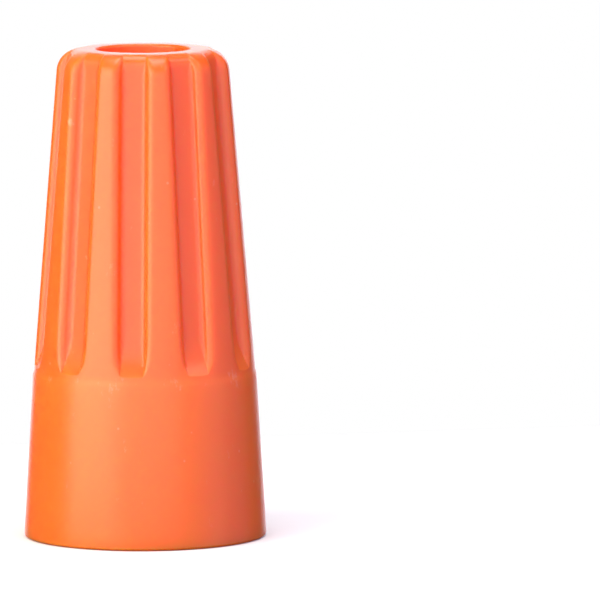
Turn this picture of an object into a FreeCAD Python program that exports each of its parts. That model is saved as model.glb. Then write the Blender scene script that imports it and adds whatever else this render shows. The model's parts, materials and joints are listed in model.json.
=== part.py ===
import FreeCAD, Part
import math
import os

import Sketcher

# Twist-on wire connector: a ribbed moulded cap round a tapered coil of square steel wire.
#
# The connector stands on its open mouth. The origin is the centre of the mouth rim, and +Z runs
# along the axis to the closed end. Lengths are in millimetres and angles in degrees.

# ---------------------------------------------------------------------------------------------
# Driving dimensions: alias, value, what it sets
# ---------------------------------------------------------------------------------------------
DIMENSIONS = [
    ("total_height", 24.0, "mouth rim to closed end"),
    ("mouth_radius", 5.96, "outside of the skirt at the mouth"),
    ("skirt_height", 8.2, "plain skirt, up to the foot of the ribbed grip"),
    ("skirt_draft", 3.35, "taper of the skirt, each side"),
    ("step_rise", 0.2, "slope at the skirt's top, up"),
    ("step_width", 0.06, "slope at the skirt's top, across"),
    ("grip_draft", 4.6, "taper of the grip, each side"),
    ("shoulder_radius", 1.15, "rounding of the closed end"),
    ("foot_radius", 0.12, "rounding of the mouth's outer edge"),
    ("flute_count", 10, "flutes round the grip"),
    ("flute_width", 1.6, "flute across its top, from rib to rib"),
    ("flute_depth", 0.53, "flute floor below the rib tops"),
    ("flute_flank", 24.0, "lean of a flute's flanks"),
    ("flute_end", 8.4, "height at which a flute has run out"),
    ("ramp_radius", 3.8, "scoop that brings a flute's floor out to the surface"),
    ("end_wall", 1.8605, "wall round the recess in the closed end"),
    ("recess_depth", 3.8, "blind recess in the closed end"),
    ("recess_lip", 0.15, "rounding of the recess's lip"),
    ("web", 1.2, "wall between the recess and the spring's socket"),
    ("rim_width", 1.0, "flat mouth rim"),
    ("lead_in_width", 0.47, "chamfer inside the rim, across"),
    ("lead_in_height", 0.4, "chamfer inside the rim, up"),
    ("guide_top", 8.2, "height at which the threaded guide cone ends"),
    ("guide_ledge", 0.85, "guide cone's top wider than the socket's mouth"),
    ("thread_pitch", 0.75, "guide thread"),
    ("thread_depth", 0.12, "depth of the guide thread"),
    ("thread_land", 0.2, "thread crest left between one groove and the next"),
    ("socket_mouth", 9.55, "height at which the spring's socket opens"),
    ("mouth_clearance", 0.3, "socket round the spring's first turn"),
    ("tip_clearance", 0.02, "socket round the spring's last turn"),
    ("coil_inset", 0.25, "first turn above the socket's mouth"),
    ("coil_end_gap", 0.1, "last turn short of the socket's end"),
    ("coil_mouth_radius", 2.05, "outside of the spring's first turn"),
    ("coil_tip_radius", 1.27, "outside of the spring's last turn"),
    ("wire_side", 0.45, "side of the square wire"),
    ("wire_corner", 0.05, "rounding of the wire's corners"),
    ("turn_gap", 0.055, "gap between one turn and the next"),
    ("coil_start", 245.0, "direction in which the wire's first cut end lies"),
]
CUT_REACH = 1.5  # how far a cutter starts outside the material
SAME_PLACE = 1e-5  # two radii or heights closer than this are one

document = FreeCAD.newDocument("twist_connector")
sheet = document.addObject("Spreadsheet::Sheet", "size")
for row, (alias, value, note) in enumerate(DIMENSIONS, start=1):
    sheet.set(f"A{row}", alias)
    sheet.set(f"B{row}", str(value))
    sheet.set(f"C{row}", note)
    sheet.setAlias(f"B{row}", alias)
document.recompute()

# ---------------------------------------------------------------------------------------------
# Sizes that follow from the driving ones, as formulas over the sheet
# ---------------------------------------------------------------------------------------------
# Outside of the cap: a short slope joins the skirt to the slightly narrower foot of the grip, and
# the grip's line would reach the closed end at the last radius.
SKIRT_TOP = "(size.skirt_height - size.step_rise)"
SKIRT_TOP_RADIUS = f"(size.mouth_radius - {SKIRT_TOP} * tan(size.skirt_draft))"
GRIP_FOOT_RADIUS = f"({SKIRT_TOP_RADIUS} - size.step_width)"
GRIP_HEIGHT = "(size.total_height - size.skirt_height)"
CLOSED_END_RADIUS = f"({GRIP_FOOT_RADIUS} - {GRIP_HEIGHT} * tan(size.grip_draft))"

# Recess in the closed end.
RECESS_RADIUS = f"({CLOSED_END_RADIUS} - size.end_wall)"
RECESS_FLOOR = "(size.total_height - size.recess_depth)"
SOCKET_END = f"({RECESS_FLOOR} - size.web)"

# The square wire stands on one corner, so its diagonal spans the coil's radius and its pitch. The
# rounded corners shorten that diagonal a little.
WIRE_SPAN = "(size.wire_side * sqrt(2) - 2 * size.wire_corner * (sqrt(2) - 1))"
COIL_PITCH = f"({WIRE_SPAN} + size.turn_gap)"
COIL_FIRST = f"(size.socket_mouth + size.coil_inset + {WIRE_SPAN} / 2)"
COIL_LAST = f"({SOCKET_END} - size.coil_end_gap - {WIRE_SPAN} / 2)"
COIL_HEIGHT = f"({COIL_LAST} - {COIL_FIRST})"
COIL_TURNS = f"({COIL_HEIGHT} / {COIL_PITCH})"
COIL_TIP_RADIUS = f"(size.coil_tip_radius - {WIRE_SPAN} / 2)"
COIL_GROWTH = f"((size.coil_mouth_radius - size.coil_tip_radius) / {COIL_TURNS})"

# The socket is shaped round the spring, and the guide cone leads into the socket.
SOCKET_MOUTH_RADIUS = "(size.coil_mouth_radius + size.mouth_clearance)"
SOCKET_TIP_RADIUS = "(size.coil_tip_radius + size.tip_clearance)"
GUIDE_TOP_RADIUS = f"({SOCKET_MOUTH_RADIUS} + size.guide_ledge)"
RIM_INNER_RADIUS = "(size.mouth_radius - size.rim_width)"
LEAD_IN_RADIUS = f"({RIM_INNER_RADIUS} - size.lead_in_width)"
GUIDE_HEIGHT = "(size.guide_top - size.lead_in_height)"
GUIDE_TAPER = f"(({LEAD_IN_RADIUS} - {GUIDE_TOP_RADIUS}) / {GUIDE_HEIGHT})"

# The guide thread keeps half a pitch clear of both ends of its cone.
THREAD_TOP = "(size.guide_top - size.thread_pitch / 2)"
THREAD_HEIGHT = f"({GUIDE_HEIGHT} - size.thread_pitch)"
THREAD_TOP_RADIUS = f"({GUIDE_TOP_RADIUS} + size.thread_pitch / 2 * {GUIDE_TAPER})"
THREAD_HALF_WIDTH = "((size.thread_pitch - size.thread_land) / 2)"

# A flute's floor runs parallel to the grip, then a scoop brings it out to the surface.
FLUTE_END_RADIUS = (
    f"({GRIP_FOOT_RADIUS} - (size.flute_end - size.skirt_height) * tan(size.grip_draft))"
)
RAMP_TURN = "(acos(1 - size.flute_depth / size.ramp_radius) / 1 deg)"
RAMP_LENGTH = f"(size.ramp_radius * sin({RAMP_TURN}))"
RAMP_TOP_RADIUS = (
    f"({FLUTE_END_RADIUS} - {RAMP_LENGTH} * sin(size.grip_draft)"
    " - size.flute_depth * cos(size.grip_draft))"
)
RAMP_TOP = (
    f"(size.flute_end + {RAMP_LENGTH} * cos(size.grip_draft)"
    " - size.flute_depth * sin(size.grip_draft))"
)
RAMP_CENTRE = f"({RAMP_TOP} + size.ramp_radius * sin(size.grip_draft))"
RAMP_CENTRE_RADIUS = f"({RAMP_TOP_RADIUS} + size.ramp_radius * cos(size.grip_draft))"
FLUTE_TOP = f"(size.total_height + {CUT_REACH})"
FLUTE_TOP_RADIUS = f"({RAMP_TOP_RADIUS} - ({FLUTE_TOP} - {RAMP_TOP}) * tan(size.grip_draft))"
FLUTE_FLOOR_HALF_WIDTH = "(size.flute_width / 2 - size.flute_depth * tan(size.flute_flank))"
FLUTE_OPENING = f"(size.flute_depth + {CUT_REACH})"


def measure(formula):
    """The formula's present value."""
    return float(sheet.evalExpression(formula))


# ---------------------------------------------------------------------------------------------
# Sketching
# ---------------------------------------------------------------------------------------------
def origin_feature(body, role):
    """The body's own plane or axis with this role."""
    return next(feature for feature in body.Origin.OriginFeatures if feature.Role == role)


def new_sketch(body, name, plane):
    """An empty sketch on one of the body's own origin planes."""
    sketch = body.newObject("Sketcher::SketchObject", name)
    sketch.AttachmentSupport = [(origin_feature(body, plane), "")]
    sketch.MapMode = "FlatFace"
    return sketch


def bind(sketch, kind, elements, formula):
    """A dimension of the sketch that follows the formula."""
    index = sketch.addConstraint(Sketcher.Constraint(kind, *elements, measure(formula)))
    sketch.setExpression(f"Constraints[{index}]", formula)


def point(across, up):
    """Where the two formulas put a point of a sketch."""
    return FreeCAD.Vector(measure(across), measure(up), 0)


def pin(sketch, edge, end, across, up):
    """Hold a point of the edge (1 its start, 2 its end, 3 its centre) at the two formulas."""
    bind(sketch, "DistanceX", (-1, 1, edge, end), across)
    bind(sketch, "DistanceY", (-1, 1, edge, end), up)


def join(sketch, edge, following):
    """Make the following edge start where this edge ends."""
    sketch.addConstraint(Sketcher.Constraint("Coincident", edge, 2, following, 1))


def draw_outline(sketch, corners):
    """A closed outline of straight edges whose corners lie at (across, up), each a formula."""
    points = [point(across, up) for across, up in corners]
    for start, end in zip(points, points[1:] + points[:1]):
        sketch.addGeometry(Part.LineSegment(start, end))
    for edge, (across, up) in enumerate(corners):
        join(sketch, (edge - 1) % len(corners), edge)
        pin(sketch, edge, 1, across, up)


def draw_rounded_diamond(sketch, radius, height):
    """The wire's section: a square standing on one corner, with every corner rounded."""
    offset = "(size.wire_side / sqrt(2) - size.wire_corner * sqrt(2))"
    rounding = measure("size.wire_corner")
    chord = rounding / math.sqrt(2)
    corners = [(1, 0), (0, 1), (-1, 0), (0, -1)]
    for arc, (across, up) in enumerate(corners):
        centre = (f"{radius} + {across} * {offset}", f"{height} + {up} * {offset}")
        outward = FreeCAD.Vector(across, up, 0)
        sideways = FreeCAD.Vector(-up, across, 0)
        start = point(*centre) + (outward - sideways) * chord
        end = point(*centre) + (outward + sideways) * chord
        sketch.addGeometry(Part.Arc(start, point(*centre) + outward * rounding, end))
        pin(sketch, arc, 3, *centre)
        bind(sketch, "Radius", (arc,), "size.wire_corner")
    for arc in range(len(corners)):
        following = (arc + 1) % len(corners)
        side = sketch.addGeometry(
            Part.LineSegment(sketch.Geometry[arc].EndPoint, sketch.Geometry[following].StartPoint)
        )
        sketch.addConstraint(Sketcher.Constraint("Tangent", arc, 2, side, 1))
        sketch.addConstraint(Sketcher.Constraint("Tangent", side, 2, following, 1))


def wind_down(helix, section, height, pitch, growth):
    """Wind the section down the sketch's upright axis, each turn wider by the growth."""
    helix.Profile = section
    helix.ReferenceAxis = (section, ["V_Axis"])
    helix.Mode = "height-turns-growth"
    helix.Reversed = True
    helix.setExpression("Height", height)
    helix.setExpression("Turns", f"{height} / {pitch}")
    helix.setExpression("Growth", growth)


def circles_at(shape, radius, height):
    """Names of the full circular edges round the axis with this radius and height."""
    names = []
    for index, edge in enumerate(shape.Edges, start=1):
        if edge.Curve.TypeId != "Part::GeomCircle":
            continue
        same_height = abs(edge.Curve.Center.z - height) < SAME_PLACE
        same_radius = abs(edge.Curve.Radius - radius) < SAME_PLACE
        if same_height and same_radius:
            names.append(f"Edge{index}")
    return names


def round_circle(body, name, radius, height, rounding):
    """A fillet along the circular edge with this radius and height, each a formula."""
    base = body.Tip
    fillet = body.newObject("PartDesign::Fillet", name)
    fillet.Base = (base, circles_at(base.Shape, measure(radius), measure(height)))
    fillet.setExpression("Radius", rounding)
    document.recompute()


# ---------------------------------------------------------------------------------------------
# Shell: one moulding, open at the mouth and closed at the far end
# ---------------------------------------------------------------------------------------------
shell = document.addObject("PartDesign::Body", "shell")
shell.Label = "shell"

# Half of the cap's section: up the outside, over the closed end and into its recess, then down
# the axis and back through the spring's socket and the guide cone to the rim.
section = new_sketch(shell, "shell_section", "XZ_Plane")
draw_outline(
    section,
    [
        (RIM_INNER_RADIUS, "0"),
        ("size.mouth_radius", "0"),
        (SKIRT_TOP_RADIUS, SKIRT_TOP),
        (GRIP_FOOT_RADIUS, "size.skirt_height"),
        (CLOSED_END_RADIUS, "size.total_height"),
        (RECESS_RADIUS, "size.total_height"),
        (RECESS_RADIUS, RECESS_FLOOR),
        ("0", RECESS_FLOOR),
        ("0", SOCKET_END),
        (SOCKET_TIP_RADIUS, SOCKET_END),
        (SOCKET_TIP_RADIUS, COIL_LAST),
        (SOCKET_MOUTH_RADIUS, "size.socket_mouth"),
        (GUIDE_TOP_RADIUS, "size.guide_top"),
        (LEAD_IN_RADIUS, "size.lead_in_height"),
    ],
)
moulding = shell.newObject("PartDesign::Revolution", "moulding")
moulding.Profile = section
moulding.ReferenceAxis = (section, ["V_Axis"])
document.recompute()

round_circle(shell, "shoulder", CLOSED_END_RADIUS, "size.total_height", "size.shoulder_radius")
round_circle(shell, "recess_edge", RECESS_RADIUS, "size.total_height", "size.recess_lip")
round_circle(shell, "foot_edge", "size.mouth_radius", "0", "size.foot_radius")

# One flute: a channel of constant section swept along its floor.
spine = new_sketch(shell, "flute_spine", "XZ_Plane")
floor_top = (FLUTE_TOP_RADIUS, FLUTE_TOP)
ramp_top = (RAMP_TOP_RADIUS, RAMP_TOP)
ramp_middle = (
    f"{RAMP_CENTRE_RADIUS} - size.ramp_radius * cos(size.grip_draft + {RAMP_TURN} / 2)",
    f"{RAMP_CENTRE} - size.ramp_radius * sin(size.grip_draft + {RAMP_TURN} / 2)",
)
run_out = (FLUTE_END_RADIUS, "size.flute_end")
clear = (
    f"{FLUTE_END_RADIUS} + {CUT_REACH} * sin(size.grip_draft + {RAMP_TURN})",
    f"size.flute_end - {CUT_REACH} * cos(size.grip_draft + {RAMP_TURN})",
)
floor = spine.addGeometry(Part.LineSegment(point(*floor_top), point(*ramp_top)))
ramp = spine.addGeometry(Part.Arc(point(*ramp_top), point(*ramp_middle), point(*run_out)))
way_out = spine.addGeometry(Part.LineSegment(point(*run_out), point(*clear)))
join(spine, floor, ramp)
join(spine, ramp, way_out)
pin(spine, floor, 1, *floor_top)
pin(spine, floor, 2, *ramp_top)
pin(spine, ramp, 2, *run_out)
pin(spine, way_out, 2, *clear)
bind(spine, "Radius", (ramp,), "size.ramp_radius")

channel = new_sketch(shell, "flute_channel", "XY_Plane")
channel.setExpression("AttachmentOffset.Base.z", FLUTE_TOP)
floor_half = FLUTE_FLOOR_HALF_WIDTH
mouth_half = f"({floor_half} + {FLUTE_OPENING} * tan(size.flute_flank))"
draw_outline(
    channel,
    [
        (FLUTE_TOP_RADIUS, f"-{floor_half}"),
        (f"{FLUTE_TOP_RADIUS} + {FLUTE_OPENING}", f"-{mouth_half}"),
        (f"{FLUTE_TOP_RADIUS} + {FLUTE_OPENING}", mouth_half),
        (FLUTE_TOP_RADIUS, floor_half),
    ],
)
document.recompute()
flute = shell.newObject("PartDesign::SubtractivePipe", "flute")
flute.Profile = channel
flute.Spine = (spine, ["Edge1", "Edge2", "Edge3"])
document.recompute()

flutes = shell.newObject("PartDesign::PolarPattern", "flutes")
flutes.Originals = [flute]
flutes.Axis = (origin_feature(shell, "Z_Axis"), [""])
flutes.Angle = 360
flutes.setExpression("Occurrences", "size.flute_count")
shell.Tip = flutes
document.recompute()

# Guide thread: a fine V groove wound down the cone, for the wires to screw into. Its section is
# twice as deep as the groove, so that it opens clear of the cone.
groove = new_sketch(shell, "thread_section", "XZ_Plane")
groove_root = f"({THREAD_TOP_RADIUS} + size.thread_depth)"
groove_back = f"({THREAD_TOP_RADIUS} - size.thread_depth)"
draw_outline(
    groove,
    [
        (groove_root, THREAD_TOP),
        (groove_back, f"{THREAD_TOP} + 2 * {THREAD_HALF_WIDTH}"),
        (groove_back, f"{THREAD_TOP} - 2 * {THREAD_HALF_WIDTH}"),
    ],
)
thread = shell.newObject("PartDesign::SubtractiveHelix", "guide_thread")
wind_down(thread, groove, THREAD_HEIGHT, "size.thread_pitch", f"size.thread_pitch * {GUIDE_TAPER}")
document.recompute()

# ---------------------------------------------------------------------------------------------
# Coil spring: square wire wound into a taper, narrow end at the closed end of the socket
# ---------------------------------------------------------------------------------------------
spring = document.addObject("PartDesign::Body", "coil_spring")
spring.Label = "coil_spring"
wire = new_sketch(spring, "wire_section", "XZ_Plane")
draw_rounded_diamond(wire, COIL_TIP_RADIUS, COIL_LAST)
coil = spring.newObject("PartDesign::AdditiveHelix", "coil")
wind_down(coil, wire, COIL_HEIGHT, COIL_PITCH, COIL_GROWTH)
spring.setExpression("Placement.Rotation.Angle", f"size.coil_start + 360 * {COIL_TURNS}")
document.recompute()

# ---------------------------------------------------------------------------------------------
# Check every object, then write each sub-part
# ---------------------------------------------------------------------------------------------
for item in document.Objects:
    if "Invalid" in item.State or "Error" in item.State:
        raise RuntimeError(f"{item.Name}: {item.getStatusString()}")

SUB_PARTS = [shell, spring]
for sub_part in SUB_PARTS:
    if sub_part.Shape.isNull() or not sub_part.Shape.isValid():
        raise RuntimeError(f"{sub_part.Label} has no valid shape")

os.makedirs("parts", exist_ok=True)
for sub_part in SUB_PARTS:
    sub_part.Shape.exportStep(f"parts/{sub_part.Label}.step")
    print(sub_part.Label, round(sub_part.Shape.Volume, 2), "mm3")
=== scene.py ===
# %% [markdown]
# # Twist-on wire connector
# The real object is two pieces: a ribbed cap moulded in orange polypropylene, and a tapered coil
# of square steel wire pressed into it, which bites into the conductors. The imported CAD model
# gives every place and overall size here, and this file gives the two pieces their looks.

# %% Load the frame
import json
import math

import bmesh
import bpy
import numpy as np
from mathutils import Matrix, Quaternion, Vector


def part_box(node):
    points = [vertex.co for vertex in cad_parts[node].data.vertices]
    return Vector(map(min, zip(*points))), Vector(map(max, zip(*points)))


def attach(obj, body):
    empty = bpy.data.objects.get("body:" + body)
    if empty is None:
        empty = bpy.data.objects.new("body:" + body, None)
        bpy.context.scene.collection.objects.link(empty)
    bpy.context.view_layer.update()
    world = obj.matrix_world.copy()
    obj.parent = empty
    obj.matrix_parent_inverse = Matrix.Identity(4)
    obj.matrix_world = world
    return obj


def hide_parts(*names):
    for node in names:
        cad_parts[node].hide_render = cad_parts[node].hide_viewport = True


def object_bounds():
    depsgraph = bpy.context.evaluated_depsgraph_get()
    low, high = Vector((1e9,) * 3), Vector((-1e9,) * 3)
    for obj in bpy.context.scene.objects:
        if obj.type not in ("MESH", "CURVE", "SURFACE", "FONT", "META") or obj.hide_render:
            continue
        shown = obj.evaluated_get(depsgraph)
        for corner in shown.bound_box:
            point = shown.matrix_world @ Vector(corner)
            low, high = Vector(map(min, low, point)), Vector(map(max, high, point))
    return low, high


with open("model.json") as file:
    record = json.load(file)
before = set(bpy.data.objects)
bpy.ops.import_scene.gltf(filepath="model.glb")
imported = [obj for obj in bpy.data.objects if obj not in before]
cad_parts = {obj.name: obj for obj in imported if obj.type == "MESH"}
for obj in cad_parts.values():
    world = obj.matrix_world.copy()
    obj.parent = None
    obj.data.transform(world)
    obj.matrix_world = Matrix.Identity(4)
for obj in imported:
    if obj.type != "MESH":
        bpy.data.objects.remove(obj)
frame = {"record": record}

cad_low, cad_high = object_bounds()
print("CAD box in metres:", tuple(cad_low), tuple(cad_high))

# %% [markdown]
# ## The cap's main sizes
# Blender works in metres and a moulding is drawn in millimetres, so the sizes below are in
# millimetres and one factor turns them into metres at the end. The overall height and the mouth
# come from the frame, and the recess from its mount, so that the cap fits the CAD model exactly.

# %% Sizes of the cap
MM = 0.001

shell_low, shell_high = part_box("shell")
HEIGHT = (shell_high.z - shell_low.z) / MM
SKIRT_DRAFT = math.radians(3.35)
GRIP_DRAFT = math.radians(4.6)
SKIRT_HEIGHT = 8.2
STEP_RISE = 0.2
STEP_WIDTH = 0.06
FOOT_ROUNDING = 0.12
SHOULDER_ROUNDING = 1.15

foot_trim = FOOT_ROUNDING / math.tan((math.pi / 2 - SKIRT_DRAFT) / 2)
MOUTH_RADIUS = (shell_high.x - shell_low.x) / 2 / MM + foot_trim * math.sin(SKIRT_DRAFT)
SKIRT_TOP_RADIUS = MOUTH_RADIUS - (SKIRT_HEIGHT - STEP_RISE) * math.tan(SKIRT_DRAFT)
GRIP_FOOT_RADIUS = SKIRT_TOP_RADIUS - STEP_WIDTH
CLOSED_END_RADIUS = GRIP_FOOT_RADIUS - (HEIGHT - SKIRT_HEIGHT) * math.tan(GRIP_DRAFT)

mounts = {mount["name"]: mount for mount in frame["record"]["mounts"]}
RECESS_RADIUS = mounts["end_recess"]["dims"]["r_mm"]
RECESS_DEPTH = 3.8
print(f"cap: {HEIGHT:.2f} mm high, {MOUTH_RADIUS:.2f} to {CLOSED_END_RADIUS:.2f} mm in radius")

# %% [markdown]
# ## A profile tool
# Most of a moulded cap is turned round its axis, so its shape is a profile: a line of points, each
# a radius and a height. Real mouldings have no knife edges, so the tool below draws the profile
# through a few corners and rounds each one by its own radius, as a mould maker would.

# %% Draw a rounded profile
ARC_STEP = math.radians(15)


def rounded_profile(corners):
    """Points of a line through corners (radius, height, rounding), with every corner rounded."""
    points = []
    for index, (radius, height, rounding) in enumerate(corners):
        corner = np.array([radius, height], dtype=float)
        if rounding == 0 or index in (0, len(corners) - 1):
            points.append(corner)
            continue
        before = np.array(corners[index - 1][:2]) - corner
        after = np.array(corners[index + 1][:2]) - corner
        before = before / np.linalg.norm(before)
        after = after / np.linalg.norm(after)
        turn = math.pi - math.acos(np.clip(before @ after, -1, 1))
        reach = rounding * math.tan(turn / 2)
        inward = (before + after) / np.linalg.norm(before + after)
        centre = corner + inward * math.hypot(rounding, reach)
        steps = max(2, math.ceil(turn / ARC_STEP))
        start = corner + before * reach - centre
        side = -before * rounding
        for step in range(steps + 1):
            angle = turn * step / steps
            points.append(centre + start * math.cos(angle) + side * math.sin(angle))
    return points


def subdivided(points, longest):
    """The same line with every stretch longer than `longest` cut into equal shorter ones."""
    line = [points[0]]
    for start, end in zip(points, points[1:]):
        pieces = max(1, math.ceil(np.linalg.norm(end - start) / longest))
        line += [start + (end - start) * piece / pieces for piece in range(1, pieces + 1)]
    return line


square_corner = rounded_profile([(0, 0, 0), (1, 0, 0.1), (1, 1, 0)])
print("a 90 degree corner takes", len(square_corner) - 2, "points")

# %% [markdown]
# ## One flute, cut across
# The grip has ten flutes, each a channel of constant width with a flat floor, leaning flanks and
# rounded rib edges. A boolean or a bevel would leave long thin faces, so the cross-section is
# worked out instead: half a flute and half a rib are laid out as a fixed row of columns, from the
# middle of the floor to the middle of the rib. Where the floor reaches the outside surface, the
# columns of the flank come together in one point, and that is just how a real flute ends.

# %% Columns across half a flute and half a rib
FLUTES = 10
FLUTE_WIDTH = 1.6
FLUTE_DEPTH = 0.53
FLANK_LEAN = math.radians(24)
RIB_ROUNDING = 0.36
FLOOR_ROUNDING = 0.50
HALF_PITCH = math.pi / FLUTES
RIB_MIDDLE = 0.97 * HALF_PITCH
FLOOR_HALF_WIDTH = FLUTE_WIDTH / 2 - FLUTE_DEPTH * math.tan(FLANK_LEAN)

STRETCHES = [("floor", 4), ("floor_corner", 5), ("flank", 2), ("rib_edge", 6), ("rib_top", 4)]
COLUMNS = [("floor", 0.0)]
for stretch, steps in STRETCHES:
    COLUMNS += [(stretch, step / steps) for step in range(1, steps + 1)]


def crossing(gap, low, high):
    """Where the gap changes sign between low and high."""
    for _ in range(30):
        middle = (low + high) / 2
        if gap(middle) * gap(high) > 0:
            high = middle
        else:
            low = middle
    return (low + high) / 2


def rib_edge_centre(rounding, outside, floor):
    """Centre of a rib's rounded edge, touching flank and rib top, and the flank's free length."""
    up = np.array([math.cos(FLANK_LEAN), math.sin(FLANK_LEAN)])
    away = np.array([-math.sin(FLANK_LEAN), math.cos(FLANK_LEAN)])
    foot = np.array([floor, FLOOR_HALF_WIDTH]) + away * rounding
    along = foot @ up
    flank = -along + math.sqrt(max(0.0, along**2 - foot @ foot + (outside - rounding) ** 2))
    return foot + up * flank, flank


def flute_point(column, outside, floor):
    """Where a column lies across the flute: (outwards, sideways), in the flute's own directions.

    outside is the radius of the rib tops and floor the distance of the flute's floor at the
    height looked at. A floor further out than the outside surface makes no flute.
    """
    stretch, share = column
    sine, cosine = math.sin(FLANK_LEAN), math.cos(FLANK_LEAN)
    half = FLOOR_HALF_WIDTH
    flank_room = outside**2 - floor**2 - half**2
    if flank_room <= 0:
        edge = math.asin(half / outside)
        if stretch == "floor":
            sideways = share * half
            return min(floor, math.sqrt(outside**2 - sideways**2)), sideways
        angle = edge if stretch != "rib_top" else edge + (HALF_PITCH - edge) * share
        return outside * math.cos(angle), outside * math.sin(angle)
    rounding = min(RIB_ROUNDING, flank_room / 2 / (outside - floor * sine + half * cosine))
    centre, flank = rib_edge_centre(rounding, outside, floor)
    if math.atan2(centre[1], centre[0]) > RIB_MIDDLE:

        def past_middle(smaller):
            centre, _ = rib_edge_centre(smaller, outside, floor)
            return math.atan2(centre[1], centre[0]) - RIB_MIDDLE

        rounding = crossing(past_middle, 0.0, rounding)
        centre, flank = rib_edge_centre(rounding, outside, floor)
    corner_turn = math.pi / 2 - FLANK_LEAN
    corner = min(FLOOR_ROUNDING, 0.9 * flank / math.tan(corner_turn / 2))
    reach = corner * math.tan(corner_turn / 2)
    if stretch == "floor":
        sideways = share * (half - reach)
        return min(floor, math.sqrt(outside**2 - sideways**2)), sideways
    if stretch == "floor_corner":
        angle = corner_turn * share
        return floor + corner * (1 - math.cos(angle)), half - reach + corner * math.sin(angle)
    if stretch == "flank":
        up = np.array([cosine, sine])
        return tuple(np.array([floor, half]) + up * (reach + (flank - reach) * share))
    rib_start = math.atan2(centre[1], centre[0])
    if stretch == "rib_edge":
        angle = -corner_turn + (rib_start + corner_turn) * share
        return tuple(centre + rounding * np.array([math.cos(angle), math.sin(angle)]))
    angle = rib_start + (HALF_PITCH - rib_start) * share
    return outside * math.cos(angle), outside * math.sin(angle)


print(len(COLUMNS), "columns from a flute's middle to a rib's middle")

# %% [markdown]
# ## How a flute runs along the grip
# A flute's floor runs parallel to the grip. At its lower end the cutter's round nose leaves a
# scoop that comes out to the surface at a clear edge. At its upper end the floor rounds over on a
# smaller radius than the ribs, and both arrive together at the flat end, so the flute fades out.

# %% Outside surface and flute floor by height
FLUTE_END = 8.4
SCOOP_RADIUS = 3.8

end_radius = GRIP_FOOT_RADIUS - (FLUTE_END - SKIRT_HEIGHT) * math.tan(GRIP_DRAFT)
scoop_turn = math.acos(1 - FLUTE_DEPTH / SCOOP_RADIUS)
scoop_length = SCOOP_RADIUS * math.sin(scoop_turn)
SCOOP_TOP = FLUTE_END + scoop_length * math.cos(GRIP_DRAFT) - FLUTE_DEPTH * math.sin(GRIP_DRAFT)
scoop_top_radius = end_radius - scoop_length * math.sin(GRIP_DRAFT)
scoop_top_radius -= FLUTE_DEPTH * math.cos(GRIP_DRAFT)
scoop_centre = (
    scoop_top_radius + SCOOP_RADIUS * math.cos(GRIP_DRAFT),
    SCOOP_TOP + SCOOP_RADIUS * math.sin(GRIP_DRAFT),
)
SHOULDER_TURN = math.pi / 2 - GRIP_DRAFT
shoulder_reach = SHOULDER_ROUNDING * math.tan(SHOULDER_TURN / 2)
SHOULDER_BOTTOM = HEIGHT - shoulder_reach * math.cos(GRIP_DRAFT)
shoulder_centre = (CLOSED_END_RADIUS - shoulder_reach, HEIGHT - SHOULDER_ROUNDING)
end_edge = CLOSED_END_RADIUS - shoulder_reach
floor_line = scoop_top_radius - (HEIGHT - SCOOP_TOP) * math.tan(GRIP_DRAFT)
FLOOR_SHOULDER = (floor_line - end_edge) / math.tan(SHOULDER_TURN / 2)
FLOOR_SHOULDER_BOTTOM = HEIGHT - (floor_line - end_edge) * math.cos(GRIP_DRAFT)


def outside_at(height):
    """Radius of the rib tops."""
    return GRIP_FOOT_RADIUS - (height - SKIRT_HEIGHT) * math.tan(GRIP_DRAFT)


def floor_at(height):
    """Distance of a flute's floor from the axis."""
    if height < SCOOP_TOP:
        rise = scoop_centre[1] - height
        return scoop_centre[0] - math.sqrt(SCOOP_RADIUS**2 - rise**2)
    if height > FLOOR_SHOULDER_BOTTOM:
        rise = height - (HEIGHT - FLOOR_SHOULDER)
        return end_edge + math.sqrt(max(0.0, FLOOR_SHOULDER**2 - rise**2))
    return scoop_top_radius - (height - SCOOP_TOP) * math.tan(GRIP_DRAFT)


def shoulder_at(turn):
    """Radius and height on the rounded shoulder, from the grip (turn 0) to the flat end."""
    angle = GRIP_DRAFT + turn
    return (
        shoulder_centre[0] + SHOULDER_ROUNDING * math.cos(angle),
        shoulder_centre[1] + SHOULDER_ROUNDING * math.sin(angle),
    )


def chord(radius, sideways):
    """How far out a circle lies at this distance to the side."""
    return math.sqrt(radius**2 - sideways**2)


print(f"scoop from {FLUTE_END:.2f} to {SCOOP_TOP:.2f} mm, shoulder from {SHOULDER_BOTTOM:.2f} mm")

# %% [markdown]
# ## The cap as one closed grid
# The cap's whole skin is one grid: the columns above, repeated round the axis, and rows that run
# from the middle of the recess over the closed end, down the grip and the skirt, round the rim and
# up the inside to the end of the spring's socket. Following the edges of the flutes with the rows
# keeps the edges crisp and the faces even, which a boolean would not.

# %% Rows of the outside


def column_sideways(column):
    """Distance to the side at which this column of the flute's floor meets the outside."""
    stretch, share = column
    return FLOOR_HALF_WIDTH * (share if stretch == "floor" else 1.0)


def row_at(heights):
    """One row of the grip, with a height of its own for every column."""
    return [
        (*flute_point(column, outside_at(height), floor_at(height)), height)
        for column, height in zip(COLUMNS, heights)
    ]


def shares(steps, power=1.0):
    """Equal shares up to 1; a power above 1 crowds them towards the start."""
    return [(step / steps) ** power for step in range(1, steps + 1)]


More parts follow.
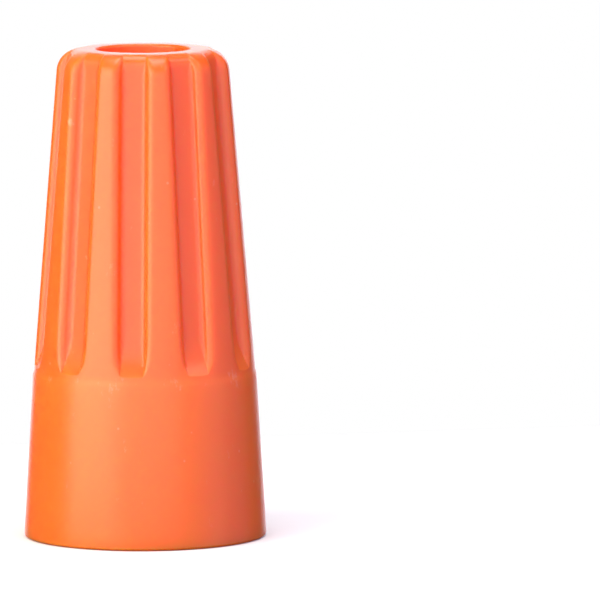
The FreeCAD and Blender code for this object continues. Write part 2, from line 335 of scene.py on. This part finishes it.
lower_edge = [
    crossing(
        lambda height: chord(outside_at(height), sideways) - floor_at(height),
        FLUTE_END - 0.05,
        SCOOP_TOP,
    )
    for sideways in map(column_sideways, COLUMNS)
]
BELOW_EDGE = 0.005  # keeps the last plain row clear of the flutes' edge
outside_rows = []
for share in [0.0] + shares(4):
    heights = [SKIRT_HEIGHT + (edge - BELOW_EDGE - SKIRT_HEIGHT) * share for edge in lower_edge]
    outside_rows.append(row_at(heights))
for share in [0.0] + shares(18, 1.6):
    outside_rows.append(row_at([edge + (SCOOP_TOP - edge) * share for edge in lower_edge]))
for share in shares(14):
    height = SCOOP_TOP + (SHOULDER_BOTTOM - SCOOP_TOP) * share
    outside_rows.append(row_at([height] * len(COLUMNS)))
for share in shares(18):
    radius, height = shoulder_at(SHOULDER_TURN * share)
    floor = floor_at(height)
    outside_rows.append([(*flute_point(column, radius, floor), height) for column in COLUMNS])
print(len(outside_rows), "rows up the grip; flutes run from", f"{min(lower_edge):.2f} mm up")

# %% [markdown]
# The rows that are plain circles keep the directions of the grip's columns: of its lowest row for
# the skirt and the inside, and of its highest row for the closed end and the recess.

# %% Turned rows
def directions(row):
    return [math.atan2(sideways, outwards) for outwards, sideways, _ in row]


def turned_rows(profile, angles):
    return [
        [(radius * math.cos(angle), radius * math.sin(angle), height) for angle in angles]
        for radius, height in profile
    ]


RECESS_FLOOR = HEIGHT - RECESS_DEPTH
land_edge = shoulder_at(SHOULDER_TURN)
closed_end = rounded_profile(
    [
        (*land_edge, 0),
        (RECESS_RADIUS, HEIGHT, 0.15),
        (RECESS_RADIUS - 0.03, RECESS_FLOOR, 0.25),
        (0, RECESS_FLOOR, 0),
    ]
)
closed_end = subdivided(closed_end, 0.5)[1:-1]
skirt = rounded_profile(
    [
        (GRIP_FOOT_RADIUS, SKIRT_HEIGHT, 0),
        (SKIRT_TOP_RADIUS, SKIRT_HEIGHT - STEP_RISE, 0.8),
        (MOUTH_RADIUS, 0, FOOT_ROUNDING),
        (MOUTH_RADIUS - 0.5, 0, 0),
    ]
)
skirt = subdivided(skirt, 0.7)[1:]
print(len(closed_end), "rows over the closed end,", len(skirt), "rows down the skirt")

# %% [markdown]
# ## Inside the cap
# A lead-in and a cone with a fine guide thread steer the wires into the spring. The thread is a
# shallow rounded groove, so it can be a ripple of the cone's rows, with enough rows for every turn
# to look round. Where the two halves of a mould meet, a thin lip of plastic is squeezed out: here
# that flash overhangs the lead-in, by an amount that wanders round the rim.

# %% Rows of the inside
RIM_WIDTH = 1.0
LEAD_IN_WIDTH = 0.47
LEAD_IN_HEIGHT = 0.4
GUIDE_LEDGE = 0.85
WEB = 1.2
RIM_INNER_RADIUS = MOUTH_RADIUS - RIM_WIDTH
LEAD_IN = (RIM_INNER_RADIUS - LEAD_IN_WIDTH, LEAD_IN_HEIGHT)
SOCKET_TIP = (1.29, 18.6)
SOCKET_MOUTH = (2.35, 9.55)
GUIDE_TOP = (SOCKET_MOUTH[0] + GUIDE_LEDGE, 8.2)
SOCKET_END = HEIGHT - RECESS_DEPTH - WEB

THREAD_PITCH = 0.75
THREAD_DEPTH = 0.12
THREAD_START = 0.775
THREAD_END = GUIDE_TOP[1] - THREAD_PITCH / 2
ROWS_PER_TURN = 14


def flash(angle):
    """How far the flash overhangs the lead-in, in millimetres."""
    waves = 0.5 * math.sin(3 * angle + 1.0) + 0.6 * math.sin(7 * angle + 2.3)
    waves += 0.5 * math.sin(16 * angle + 0.6) + 0.4 * math.sin(29 * angle + 4.0)
    return max(0.015, 0.07 + 0.055 * waves)


def groove(height, angle):
    """Depth of the guide thread's groove at a point of the cone, in millimetres."""
    turn = (height - THREAD_START) / THREAD_PITCH - angle / (2 * math.pi)
    ends = min(height - THREAD_START, THREAD_END - height) / THREAD_PITCH
    fade = min(1.0, max(0.0, ends + 0.5))
    return THREAD_DEPTH * fade * (0.5 - 0.5 * math.cos(2 * math.pi * turn)) ** 0.8


rim = [
    lambda angle: (MOUTH_RADIUS - 0.75, 0.0),
    lambda angle: (RIM_INNER_RADIUS - flash(angle), 0.0),
    lambda angle: (RIM_INNER_RADIUS - flash(angle), 0.02),
    lambda angle: (RIM_INNER_RADIUS - 0.045, 0.055),
    lambda angle: (RIM_INNER_RADIUS - LEAD_IN_WIDTH / 2, LEAD_IN_HEIGHT / 2),
]
cone = subdivided([np.array(LEAD_IN), np.array(GUIDE_TOP)], THREAD_PITCH / ROWS_PER_TURN)
ledge_and_socket = rounded_profile(
    [
        (*GUIDE_TOP, 0),
        (*SOCKET_MOUTH, 0.15),
        (*SOCKET_TIP, 0),
        (SOCKET_TIP[0], SOCKET_END, 0.1),
        (0, SOCKET_END, 0),
    ]
)
ledge_and_socket = subdivided(ledge_and_socket, 0.5)[1:-1]
print(len(cone), "rows of guide thread,", len(ledge_and_socket), "rows of ledge and socket")

# %% [markdown]
# ## Putting the cap together
# Every row is half a flute and half a rib, so it is mirrored and then repeated ten times. Columns
# that share a point, such as the closed flank of a flute on the skirt, are merged afterwards, and
# faces that shrink to nothing go with them. The two middles are closed with a fan.

# %% Build the cap's mesh
def full_ring(row):
    """A row of one half sector, mirrored and repeated round the axis."""
    sector = [(x, -y, z) for x, y, z in reversed(row[1:])] + row[:-1]
    ring = []
    for flute in range(FLUTES):
        angle = 2 * math.pi * flute / FLUTES
        cosine, sine = math.cos(angle), math.sin(angle)
        ring += [(x * cosine - y * sine, x * sine + y * cosine, z) for x, y, z in sector]
    return ring


end_directions = directions(outside_rows[-1])
skirt_directions = directions(outside_rows[0])
rings = [full_ring(row) for row in reversed(turned_rows(closed_end, end_directions))]
rings += [full_ring(row) for row in reversed(outside_rows)]
rings += [full_ring(row) for row in turned_rows(skirt, skirt_directions)]
ring_angles = [math.atan2(y, x) for x, y, _ in rings[-1]]
for at_angle in rim:
    rings.append(
        [(r * math.cos(a), r * math.sin(a), z) for a in ring_angles for r, z in [at_angle(a)]]
    )
for radius, height in cone:
    ring = []
    for angle in ring_angles:
        outwards = radius + groove(height, angle)
        ring.append((outwards * math.cos(angle), outwards * math.sin(angle), height))
    rings.append(ring)
rings += [full_ring(row) for row in turned_rows(ledge_and_socket, skirt_directions)]


def add_mesh(name, vertices, faces, merge=0.0):
    """A new object from vertices in millimetres, with faces that point outwards."""
    mesh = bpy.data.meshes.new(name)
    mesh.from_pydata([tuple(np.array(vertex) * MM) for vertex in vertices], [], faces)
    work = bmesh.new()
    work.from_mesh(mesh)
    if merge:
        bmesh.ops.remove_doubles(work, verts=work.verts, dist=merge * MM)
        bmesh.ops.dissolve_degenerate(work, edges=work.edges, dist=merge * MM)
    bmesh.ops.recalc_face_normals(work, faces=work.faces)
    work.to_mesh(mesh)
    work.free()
    piece = bpy.data.objects.new(name, mesh)
    bpy.context.collection.objects.link(piece)
    return piece


def bridged(rings, first_middle, last_middle):
    """Vertices and faces of a closed skin over rings of equal length, with a fan at each end."""
    width = len(rings[0])
    vertices = [vertex for ring in rings for vertex in ring] + [first_middle, last_middle]
    first, last = len(vertices) - 2, len(vertices) - 1
    end = (len(rings) - 1) * width
    faces = []
    for column in range(width):
        beside = (column + 1) % width
        for row in range(len(rings) - 1):
            low, high = row * width, (row + 1) * width
            faces.append((low + column, low + beside, high + beside, high + column))
        faces += [(first, beside, column), (last, end + column, end + beside)]
    return vertices, faces


cap = add_mesh("cap", *bridged(rings, (0, 0, RECESS_FLOOR), (0, 0, SOCKET_END)), merge=0.004)
print("cap:", len(cap.data.polygons), "faces")

# %% [markdown]
# ## Smooth and sharp
# Curved plastic is smooth, but the foot of a flute and the lip of the flash are real edges.
# Marking edges by their angle keeps them, and weighted normals keep the flat floors of the
# flutes flat beside their small corner roundings. A number stored at every point says how deep in
# a flute it lies, from 0 on the rib tops to 1 on the floor, for the plastic's colour to paint
# shade into the flutes' floors.

# %% Shade the cap
def shade(piece, sharp_degrees):
    piece.data.shade_smooth()
    piece.data.set_sharp_from_angle(angle=math.radians(sharp_degrees))
    weighted = piece.modifiers.new("weighted_normals", "WEIGHTED_NORMAL")
    weighted.keep_sharp = True
    weighted.weight = 60


shade(cap, 32)

# how deep in a flute each point lies; the plastic's colour reads it to paint shade into the floors
flute_depth = cap.data.attributes.new("flute_depth", "FLOAT", "POINT")
for vertex in cap.data.vertices:
    x, y, z = vertex.co / MM
    rib_top = outside_at(z)
    if z > SHOULDER_BOTTOM:
        rise = z - shoulder_centre[1]
        rib_top = shoulder_centre[0] + math.sqrt(max(0.0, SHOULDER_ROUNDING**2 - rise**2))
    under = (rib_top - math.hypot(x, y)) / FLUTE_DEPTH
    on_outside = z > SKIRT_HEIGHT and under < 1.5
    flute_depth.data[vertex.index].value = min(max(under, 0.0), 1.0) if on_outside else 0.0
sharp_edges = sum(1 for edge in cap.data.edges if edge.use_edge_sharp)
print("cap:", sharp_edges, "sharp edges")

# %% [markdown]
# ## The coil spring
# The spring is square wire, wound with its corners facing in and out, so that one corner cuts
# into the conductors and the opposite one seats in the plastic. It is a taper, wide at the mouth.
# A curve bevelled by a square would turn its section as it climbs, so the section is swept here,
# always standing in the plane through the axis.

# %% Wind the wire
COIL_START = math.radians(245.0)
WIRE_SIDE = 0.45
WIRE_CORNER = 0.05
WIRE_SPAN = WIRE_SIDE * math.sqrt(2) - 2 * WIRE_CORNER * (math.sqrt(2) - 1)
TURN_GAP = 0.055
STEPS_PER_TURN = 56

COIL_INSET = 0.25
COIL_END_GAP = 0.1
COIL_MOUTH_RADIUS = 2.05
COIL_TIP_RADIUS = 1.27
COIL_BOTTOM = SOCKET_MOUTH[1] + COIL_INSET + WIRE_SPAN / 2
COIL_TOP = SOCKET_END - COIL_END_GAP - WIRE_SPAN / 2
COIL_PITCH = WIRE_SPAN + TURN_GAP
COIL_TURNS = (COIL_TOP - COIL_BOTTOM) / COIL_PITCH
coil_radii = (COIL_MOUTH_RADIUS - WIRE_SPAN / 2, COIL_TIP_RADIUS - WIRE_SPAN / 2)

coil_low, coil_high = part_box("coil_spring")
print(f"coil in the CAD model: {coil_low.z / MM:.2f} to {coil_high.z / MM:.2f} mm up")
print(f"coil here: {COIL_BOTTOM - WIRE_SPAN / 2:.2f} to {COIL_TOP + WIRE_SPAN / 2:.2f} mm up")


def wire_section():
    """Outline of the wire: a square on its corner, with rounded corners."""
    reach = WIRE_SIDE / math.sqrt(2) - WIRE_CORNER * math.sqrt(2)
    outline = []
    for corner in range(4):
        middle = corner * math.pi / 2
        for step in range(-2, 3):
            angle = middle + step * math.pi / 8
            outline.append(
                (
                    reach * math.cos(middle) + WIRE_CORNER * math.cos(angle),
                    reach * math.sin(middle) + WIRE_CORNER * math.sin(angle),
                )
            )
    return outline


section = wire_section()
stations = math.ceil(COIL_TURNS * STEPS_PER_TURN)
wire_rings, wire_middles, wire_lengths = [], [], []
for station in range(stations + 1):
    share = station / stations
    angle = COIL_START + 2 * math.pi * COIL_TURNS * share
    radius = coil_radii[0] + (coil_radii[1] - coil_radii[0]) * share
    height = COIL_BOTTOM + (COIL_TOP - COIL_BOTTOM) * share
    cosine, sine = math.cos(angle), math.sin(angle)
    wire_rings.append(
        [((radius + u) * cosine, (radius + u) * sine, height + v) for u, v in section]
    )
    wire_middles.append((radius * cosine, radius * sine, height))
    if station:
        step_length = math.dist(wire_middles[-1], wire_middles[-2])
        wire_lengths.append(wire_lengths[-1] + step_length)
    else:
        wire_lengths.append(0.0)
print(f"coil: {COIL_TURNS:.2f} turns at {COIL_PITCH:.3f} mm, {wire_lengths[-1]:.0f} mm of wire")

# %% [markdown]
# Wire is drawn through a die, which leaves fine lines along it. A texture can follow them only
# when the mesh says which way the wire runs, so a UV map holds millimetres along the wire and
# millimetres round it.

# %% Build the spring's mesh
ROUND_STEP = 0.09  # millimetres round the wire from one point of its outline to the next
HALF_ROUND = 0.9

spring = add_mesh("spring", *bridged(wire_rings, wire_middles[0], wire_middles[-1]))
along_wire = {}
for station, ring in enumerate(wire_rings):
    for place in range(len(ring)):
        along_wire[station * len(section) + place] = (wire_lengths[station], place * ROUND_STEP)
wire_map = spring.data.uv_layers.new(name="wire")
for polygon in spring.data.polygons:
    places = [along_wire.get(vertex, (wire_lengths[-1], 0.0)) for vertex in polygon.vertices]
    wraps = max(place[1] for place in places) - min(place[1] for place in places) > HALF_ROUND
    for loop, (along, around) in zip(polygon.loop_indices, places):
        if wraps and around < HALF_ROUND:
            around += ROUND_STEP * len(section)
        wire_map.data[loop].uv = (along, around)
shade(spring, 50)
print("spring:", len(spring.data.polygons), "faces")

# %% [markdown]
# ## Colours and nodes
# Colours are written as the hex codes that a screen shows, and one function turns them into the
# linear values that the renderer works with. A second one adds a node with its settings and links.

# %% Colour and node helpers
def linear(hex_code):
    """Linear RGBA of an sRGB hex code."""
    channels = [int(hex_code[place : place + 2], 16) / 255 for place in (1, 3, 5)]
    return (*[c / 12.92 if c <= 0.04045 else ((c + 0.055) / 1.055) ** 2.4 for c in channels], 1.0)


def add_node(tree, kind, settings=None, inputs=None):
    """Add a node; an input takes a value, or another node's output to link."""
    node = tree.nodes.new(kind)
    for name, value in (settings or {}).items():
        setattr(node, name, value)
    for name, value in (inputs or {}).items():
        if isinstance(value, bpy.types.NodeSocket):
            tree.links.new(value, node.inputs[name])
        else:
            node.inputs[name].default_value = value
    return node


def new_material(name):
    material = bpy.data.materials.new(name)
    material.use_nodes = True
    material.node_tree.nodes.clear()
    return material, material.node_tree


PER_MM = 1000.0  # a noise of this scale has one bump per millimetre
print("orange #ff6a1c is", [round(c, 3) for c in linear("#ff6a1c")])

# %% [markdown]
# ## Moulded polypropylene
# The cap is injection-moulded polypropylene, coloured through with an orange pigment. The plastic
# is waxy: light enters, scatters for a millimetre or so and comes out redder, which fills the
# flutes with a warm glow and makes the inside of the cap a deep red-orange. The mould's surface
# is fine-ground and the plastic shrinks a little as it cools, so the gloss is soft and slightly
# wavy. The grip's colour is painted a touch deeper than the skirt's, a painted shade that tones
# down the light the grip gets, and the flutes' floors are painted redder still, a painted shade
# in the channels. Handling leaves a few pale scuffs, most of them on the step below the grip, and
# some dust.

# %% Orange polypropylene
orange, tree = new_material("moulded_polypropylene_orange")
place = add_node(tree, "ShaderNodeTexCoord").outputs["Object"]

flow_place = add_node(tree, "ShaderNodeMapping", {}, {"Vector": place, "Scale": (1.0, 1.0, 0.35)})
flow = add_node(
    tree,
    "ShaderNodeTexNoise",
    {},
    {"Vector": flow_place.outputs[0], "Scale": PER_MM / 5.0, "Detail": 3.0, "Roughness": 0.5},
)
tint = add_node(
    tree,
    "ShaderNodeMix",
    {"data_type": "RGBA"},
    {"Factor": flow.outputs["Fac"], 6: linear("#f06b22"), 7: linear("#f87724")},
)

scuff_place = add_node(tree, "ShaderNodeMapping", {}, {"Vector": place, "Scale": (1.0, 1.0, 0.6)})
scuff_noise = add_node(
    tree,
    "ShaderNodeTexNoise",
    {},
    {"Vector": scuff_place.outputs[0], "Scale": PER_MM / 1.1, "Detail": 6.0, "Roughness": 0.72},
)
height = add_node(tree, "ShaderNodeSeparateXYZ", {}, {0: place}).outputs["Z"]
off_step = add_node(
    tree,
    "ShaderNodeMath",
    {"operation": "SUBTRACT"},
    {0: height, 1: SKIRT_HEIGHT * MM},
)
from_step = add_node(tree, "ShaderNodeMath", {"operation": "ABSOLUTE"}, {0: off_step.outputs[0]})
on_step = add_node(
    tree,
    "ShaderNodeMapRange",
    {"interpolation_type": "SMOOTHSTEP"},
    {
        "Value": from_step.outputs[0],
        "From Min": 0.1 * MM,
        "From Max": 0.7 * MM,
        "To Min": 1.0,
        "To Max": 0.0,
    },
)
rubbed = add_node(
    tree,
    "ShaderNodeMath",
    {"operation": "MULTIPLY_ADD"},
    {0: on_step.outputs[0], 1: 0.07, 2: scuff_noise.outputs["Fac"]},
)
scuffs = add_node(
    tree,
    "ShaderNodeMapRange",
    {"interpolation_type": "SMOOTHSTEP"},
    {"Value": rubbed.outputs[0], "From Min": 0.63, "From Max": 0.76, "To Max": 0.35},
)
dust_cells = add_node(
    tree, "ShaderNodeTexVoronoi", {}, {"Vector": place, "Scale": PER_MM / 1.5, "Randomness": 1.0}
)
dust = add_node(
    tree,
    "ShaderNodeMapRange",
    {"interpolation_type": "SMOOTHSTEP"},
    {
        "Value": dust_cells.outputs["Distance"],
        "From Min": 0.02,
        "From Max": 0.06,
        "To Min": 0.25,
        "To Max": 0.0,
    },
)
# painted shade: the deeper a point lies in a flute, the redder and darker its colour
depth = add_node(tree, "ShaderNodeAttribute", {"attribute_name": "flute_depth"}).outputs["Fac"]
flute_shade_amount = add_node(
    tree,
    "ShaderNodeMapRange",
    {},
    {"Value": depth, "From Min": 0.2, "From Max": 1.0, "To Max": 0.4},
)
# painted shade: the grip is tinted deeper than the skirt to tone down the light it gets
grip_shade_amount = add_node(
    tree,
    "ShaderNodeMapRange",
    {"interpolation_type": "SMOOTHSTEP"},
    {
        "Value": off_step.outputs[0],
        "From Min": 0.0,
        "From Max": 0.4 * MM,
        "To Min": 0.0,
        "To Max": 0.22,
    },
)
grip_shade_tint = add_node(
    tree,
    "ShaderNodeMix",
    {"data_type": "RGBA"},
    {"Factor": grip_shade_amount.outputs[0], 6: tint.outputs[2], 7: linear("#e8501a")},
)
flute_floor_shade = add_node(
    tree,
    "ShaderNodeMix",
    {"data_type": "RGBA"},
    {"Factor": flute_shade_amount.outputs[0], 6: grip_shade_tint.outputs[2], 7: linear("#e8562a")},
)
marks = add_node(
    tree, "ShaderNodeMath", {"operation": "MAXIMUM"}, {0: scuffs.outputs[0], 1: dust.outputs[0]}
)
coloured = add_node(
    tree,
    "ShaderNodeMix",
    {"data_type": "RGBA"},
    {"Factor": marks.outputs[0], 6: flute_floor_shade.outputs[2], 7: linear("#ffc8a8")},
)

grain = add_node(
    tree,
    "ShaderNodeTexNoise",
    {},
    {"Vector": place, "Scale": PER_MM / 0.18, "Detail": 3.0, "Roughness": 0.6},
)
ripple = add_node(
    tree,
    "ShaderNodeTexNoise",
    {},
    {"Vector": flow_place.outputs[0], "Scale": PER_MM / 1.6, "Detail": 2.0, "Roughness": 0.5},
)
grain_bump = add_node(
    tree,
    "ShaderNodeBump",
    {},
    {"Height": grain.outputs["Fac"], "Strength": 0.5, "Distance": 0.010 * MM},
)
skin_bump = add_node(
    tree,
    "ShaderNodeBump",
    {},
    {
        "Height": ripple.outputs["Fac"],
        "Strength": 0.6,
        "Distance": 0.03 * MM,
        "Normal": grain_bump.outputs[0],
    },
)
gloss = add_node(
    tree,
    "ShaderNodeMapRange",
    {},
    {
        "Value": flow.outputs["Fac"],
        "From Min": 0.3,
        "From Max": 0.7,
        "To Min": 0.31,
        "To Max": 0.38,
    },
)
plastic = add_node(
    tree,
    "ShaderNodeBsdfPrincipled",
    {"subsurface_method": "RANDOM_WALK"},
    {
        "Base Color": coloured.outputs[2],
        "Roughness": gloss.outputs[0],
        "IOR": 1.49,
        "Subsurface Weight": 1.0,
        "Subsurface Radius": (1.0, 0.28, 0.08),
        "Subsurface Scale": 1.0 * MM,
        "Normal": skin_bump.outputs[0],
    },
)
add_node(tree, "ShaderNodeOutputMaterial", {}, {"Surface": plastic.outputs[0]})
cap.data.materials.append(orange)
print("orange:", len(tree.nodes), "nodes")

# %% [markdown]
# ## Drawn steel wire
# The spring is drawn carbon-steel wire with a thin plating of zinc. Drawing leaves fine lines
# along the wire and plating softens them, so the metal is grey, satin and slightly streaked.

# %% Zinc-plated drawn steel
steel, tree = new_material("drawn_steel_zinc_plated")
wire_place = add_node(tree, "ShaderNodeUVMap", {"uv_map": "wire"}).outputs[0]
lines_place = add_node(
    tree,
    "ShaderNodeMapping",
    {},
    {"Vector": wire_place, "Scale": (0.35, 14.0, 1.0)},
)
lines = add_node(
    tree,
    "ShaderNodeTexNoise",
    {},
    {"Vector": lines_place.outputs[0], "Scale": 1.0, "Detail": 4.0, "Roughness": 0.6},
)
bloom = add_node(
    tree,
    "ShaderNodeTexNoise",
    {},
    {
        "Vector": add_node(tree, "ShaderNodeTexCoord").outputs["Object"],
        "Scale": PER_MM / 0.7,
        "Detail": 3.0,
    },
)
steel_tint = add_node(
    tree,
    "ShaderNodeMix",
    {"data_type": "RGBA"},
    {"Factor": bloom.outputs["Fac"]},
)
steel_tint.inputs[6].default_value = linear("#a9a8a6")
steel_tint.inputs[7].default_value = linear("#cfcdc9")
steel_gloss = add_node(
    tree,
    "ShaderNodeMapRange",
    {},
    {
        "Value": lines.outputs["Fac"],
        "From Min": 0.3,
        "From Max": 0.7,
        "To Min": 0.22,
        "To Max": 0.38,
    },
)
steel_bump = add_node(
    tree,
    "ShaderNodeBump",
    {},
    {"Height": lines.outputs["Fac"], "Strength": 0.5, "Distance": 0.006 * MM},
)
metal = add_node(
    tree,
    "ShaderNodeBsdfPrincipled",
    {},
    {
        "Base Color": steel_tint.outputs[2],
        "Metallic": 1.0,
        "Roughness": steel_gloss.outputs[0],
        "Normal": steel_bump.outputs[0],
    },
)
add_node(tree, "ShaderNodeOutputMaterial", {}, {"Surface": metal.outputs[0]})
spring.data.materials.append(steel)
print("steel:", len(tree.nodes), "nodes")

# %% [markdown]
# ## Joining the pieces to the frame
# Neither piece moves against the other, so both ride on the one body. Each replaces its CAD
# solid.

# %% Ride and replace
PIECES = [(cap, "shell", "orange_plastic"), (spring, "coil_spring", "spring_steel")]
for piece, cad_node, slot in PIECES:
    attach(piece, "root")
    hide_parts(cad_node)
    print(piece.name, "replaces", cad_node)

# %% [markdown]
# ## The floor
# The cap stands on its mouth on a plain white card of matt paper. A real studio keeps the card's
# own glow off the product with black flags. Here the card is hidden from diffuse and glossy rays,
# which does the same, so the cap's shaded side stays deep in colour.

# %% Floor
floor_mesh = bpy.data.meshes.new("floor")
half = 34 * MM
floor_mesh.from_pydata(
    [(-half, -half, 0), (half, -half, 0), (half, half, 0), (-half, half, 0)], [], [(0, 1, 2, 3)]
)
floor = bpy.data.objects.new("floor", floor_mesh)
floor.location.z = cad_low.z - 0.02 * MM
bpy.context.collection.objects.link(floor)
paper, tree = new_material("matt_white_paper")
fibre = add_node(
    tree,
    "ShaderNodeTexNoise",
    {},
    {"Vector": add_node(tree, "ShaderNodeTexCoord").outputs["Object"], "Scale": PER_MM / 2.0},
)
paper_tint = add_node(
    tree,
    "ShaderNodeMix",
    {"data_type": "RGBA"},
    {"Factor": fibre.outputs["Fac"]},
)
paper_tint.inputs[6].default_value = linear("#f7f7f6")
paper_tint.inputs[7].default_value = linear("#fcfcfb")
sheet = add_node(
    tree,
    "ShaderNodeBsdfPrincipled",
    {},
    {"Base Color": paper_tint.outputs[2], "Roughness": 0.9, "Specular IOR Level": 0.2},
)
add_node(tree, "ShaderNodeOutputMaterial", {}, {"Surface": sheet.outputs[0]})
floor.data.materials.append(paper)
floor.visible_diffuse = False
floor.visible_glossy = False
print("floor just under", f"{cad_low.z / MM:.2f} mm")

# %% [markdown]
# ## Camera
# A long lens, a little above the middle of the cap, keeps its sides nearly parallel. The cap
# stands left of the middle of the picture, and a rib points slightly to the camera's right.

# %% Camera
VIEW_TURN = math.radians(-12.0)
VIEW_RISE = math.radians(6.75)
CAMERA_DISTANCE = 480 * MM
FRAME_WIDTH = 29.45 * MM
SENSOR = 36.0
CAMERA_TILT = math.radians(0.2)  # a camera is seldom quite level

to_right = Vector((math.cos(VIEW_TURN), math.sin(VIEW_TURN), 0))
to_viewer = Vector((math.sin(VIEW_TURN), -math.cos(VIEW_TURN), 0))


def towards(right_degrees, up_degrees):
    """Direction from the object, turned to the camera's right and raised, in degrees."""
    right, up = math.radians(right_degrees), math.radians(up_degrees)
    level = to_viewer * math.cos(right) + to_right * math.sin(right)
    return level * math.cos(up) + Vector((0, 0, math.sin(up)))


axis = (cad_low + cad_high) / 2
aim = Vector((axis.x, axis.y, 11.57 * MM)) + to_right * 7.64 * MM
camera_data = bpy.data.cameras.new("camera")
camera_data.sensor_width = SENSOR
camera_data.lens = SENSOR * CAMERA_DISTANCE / FRAME_WIDTH
camera_data.clip_start = 10 * MM
camera_data.clip_end = 10.0
camera = bpy.data.objects.new("camera", camera_data)
camera.location = aim + towards(0, math.degrees(VIEW_RISE)) * CAMERA_DISTANCE
upright = (camera.location - aim).to_track_quat("Z", "Y")
camera.rotation_euler = (upright @ Quaternion((0, 0, 1), -CAMERA_TILT)).to_euler()
bpy.context.collection.objects.link(camera)
bpy.context.scene.camera = camera
print(f"lens {camera_data.lens:.0f} mm")

# %% [markdown]
# ## Light
# A product table: a tall warm soft box on the left models the ribs, a wide and slightly cool one
# in front fills the flutes, a top light whitens the table, and a white wall behind gives both
# edges their pale rims. A small window adds a glint on the right and a violet panel cools the
# shaded side. One more wall there is hidden from diffuse rays, which no real wall is: it lays a
# pale sheen over the shade without lighting it. The backdrop looks white but lights only dimly, so
# the right side of the cap falls into a soft shade.

# %% Lights
scene = bpy.context.scene
scene.view_settings.view_transform = "Standard"
scene.view_settings.look = "None"

world = bpy.data.worlds.new("studio")
scene.world = world
world.use_nodes = True
tree = world.node_tree
tree.nodes.clear()
seen = add_node(tree, "ShaderNodeLightPath").outputs["Is Camera Ray"]
backdrop = add_node(tree, "ShaderNodeBackground", {}, {"Color": linear("#ffffff"), "Strength": 1.0})
room = add_node(tree, "ShaderNodeBackground", {}, {"Color": linear("#e9e9ff"), "Strength": 0.12})
both = add_node(
    tree,
    "ShaderNodeMixShader",
    {},
    {0: seen, 1: room.outputs[0], 2: backdrop.outputs[0]},
)
add_node(tree, "ShaderNodeOutputWorld", {}, {"Surface": both.outputs[0]})


def soft_box(name, right_degrees, up_degrees, distance, width, height, level, colour):
    """A soft box that lights white paper facing it to this level, where 1 is just white."""
    light = bpy.data.lights.new(name, "AREA")
    light.shape = "RECTANGLE"
    light.size = width
    light.size_y = height
    light.energy = level * math.pi**2 * distance**2
    light.color = linear(colour)[:3]
    lamp = bpy.data.objects.new(name, light)
    lamp.location = axis + towards(right_degrees, up_degrees) * distance
    lamp.rotation_euler = (lamp.location - axis).to_track_quat("Z", "Y").to_euler()
    bpy.context.collection.objects.link(lamp)
    print(name, f"{light.energy:.2f} W")
    return lamp


soft_box("key", -55, 12, 0.50, 0.46, 0.55, 1.70, "#fff0dc")
soft_box("front_fill", 2, 6, 0.65, 0.95, 0.75, 1.18, "#f8f4ff")
soft_box("top", 0, 88, 0.60, 0.40, 0.40, 0.80, "#ffffff")
soft_box("back_wall", 180, 8, 0.60, 0.50, 0.50, 0.55, "#eef0ff")
soft_box("window", 67, 45, 0.50, 0.10, 0.11, 0.15, "#f4f2ff")
soft_box("cool_side", 85, 8, 0.60, 0.70, 0.60, 0.26, "#c070ff")
gloss_wall = soft_box("gloss_wall", 62, 2, 0.60, 0.50, 0.50, 0.18, "#ffffff")
gloss_wall.visible_diffuse = False  # hidden from diffuse rays, so it only adds a pale sheen
